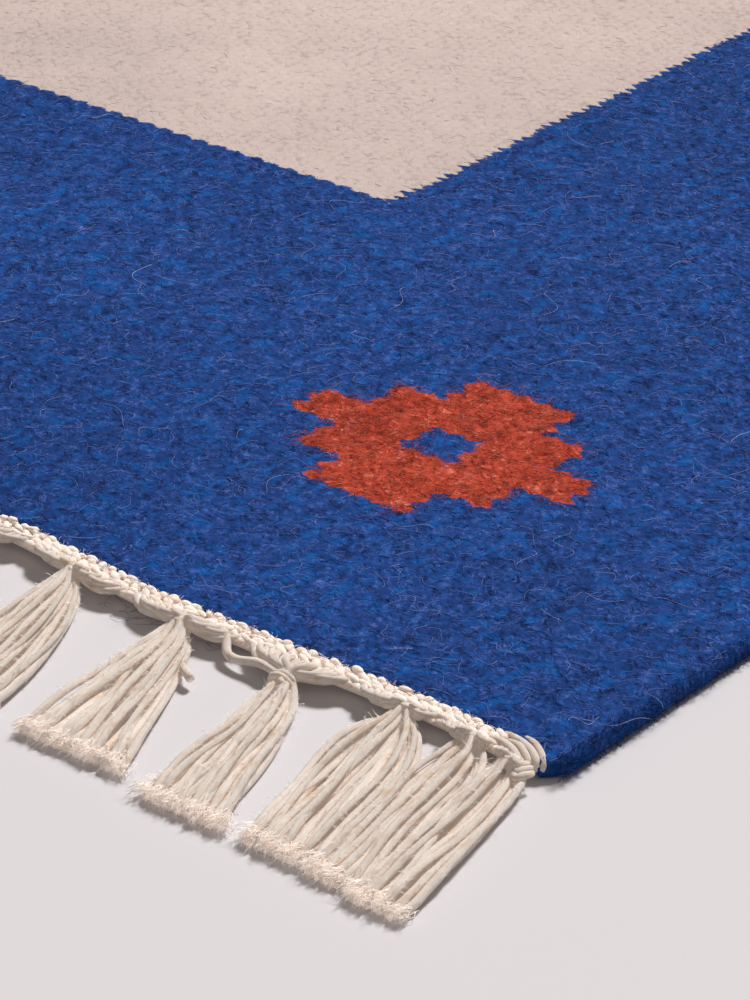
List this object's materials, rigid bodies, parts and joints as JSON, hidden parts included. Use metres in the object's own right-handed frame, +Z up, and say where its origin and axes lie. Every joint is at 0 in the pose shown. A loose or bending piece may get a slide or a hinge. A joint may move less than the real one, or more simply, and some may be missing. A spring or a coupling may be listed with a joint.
{
  "type": "kilim rug",
  "caption": "Flat-woven wool kilim rug with a wide blue border, plain cream field, small rust corner motifs, cotton headings and knotted tassel fringes.",
  "frame": {"origin": "on the floor under the middle of the rug", "axes": "+X across the rug along the weft, +Y along the warp from the near fringe to the far fringe, +Z up from the floor"},
  "size_m": [1.2101, 1.9279, 0.005],
  "materials": {
    "blue_wool": "fuzzy weft-faced flat weave, heathered royal blue",
    "cream_wool": "weft-faced flat weave, undyed cream wool",
    "rust_wool": "fuzzy weft-faced flat weave, rust orange",
    "heading_cotton": "plain-woven undyed cotton",
    "fringe_cotton": "loosely spun undyed cotton yarn"
  },
  "bodies": {
    "root": {"rug_cloth": "blue_wool", "heading_near": "heading_cotton", "heading_far": "heading_cotton", "fringe_near": "fringe_cotton", "fringe_far": "fringe_cotton"}
  },
  "joints": []
}
